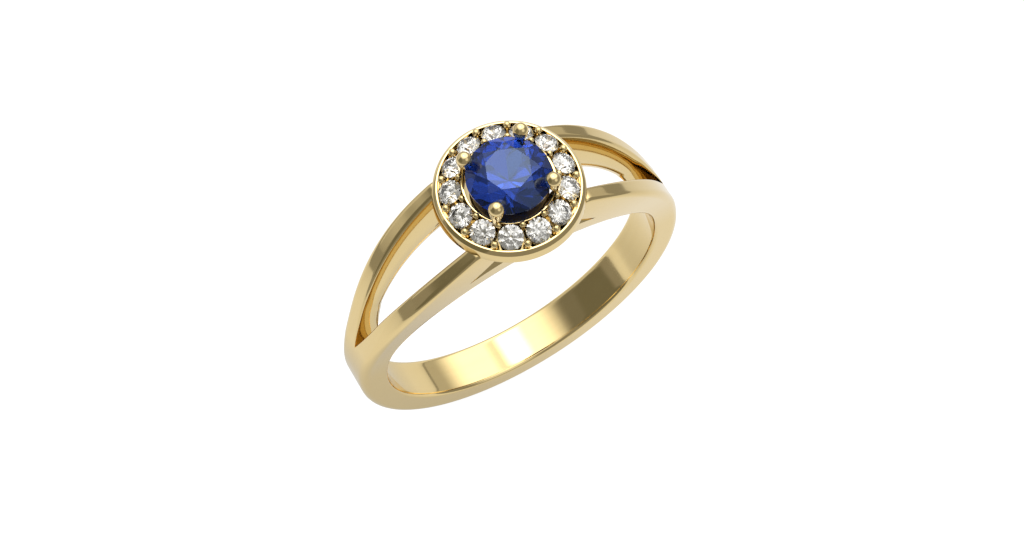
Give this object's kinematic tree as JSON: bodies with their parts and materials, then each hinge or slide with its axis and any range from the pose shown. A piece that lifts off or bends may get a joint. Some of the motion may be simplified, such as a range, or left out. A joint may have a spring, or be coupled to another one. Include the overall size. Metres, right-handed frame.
{
  "type": "engagement ring",
  "caption": "Yellow gold halo engagement ring with a split shank, a round blue centre stone in four claws and a ring of small round diamonds.",
  "frame": {"origin": "centre of the finger hole", "axes": "+Y along the finger; +Z through the centre stone; +X across the shoulders"},
  "size_m": [0.0196, 0.0076, 0.0236],
  "materials": {
    "gold": "polished yellow gold",
    "sapphire": "faceted and polished blue sapphire",
    "diamond": "faceted and polished colourless diamond"
  },
  "bodies": {
    "root": {"shank_band": "gold", "arm_front_left": "gold", "arm_front_right": "gold", "arm_back_left": "gold", "arm_back_right": "gold", "bridge_front": "gold", "bridge_back": "gold", "gallery_ring": "gold", "halo_tray": "gold", "claw_front_left": "gold", "claw_front_right": "gold", "claw_back_left": "gold", "claw_back_right": "gold", "centre_sapphire": "sapphire", "halo_diamond_01": "diamond", "halo_diamond_02": "diamond", "halo_diamond_03": "diamond", "halo_diamond_04": "diamond", "halo_diamond_05": "diamond", "halo_diamond_06": "diamond", "halo_diamond_07": "diamond", "halo_diamond_08": "diamond", "halo_diamond_09": "diamond", "halo_diamond_10": "diamond", "halo_diamond_11": "diamond", "halo_diamond_12": "diamond", "halo_diamond_13": "diamond"}
  },
  "joints": []
}
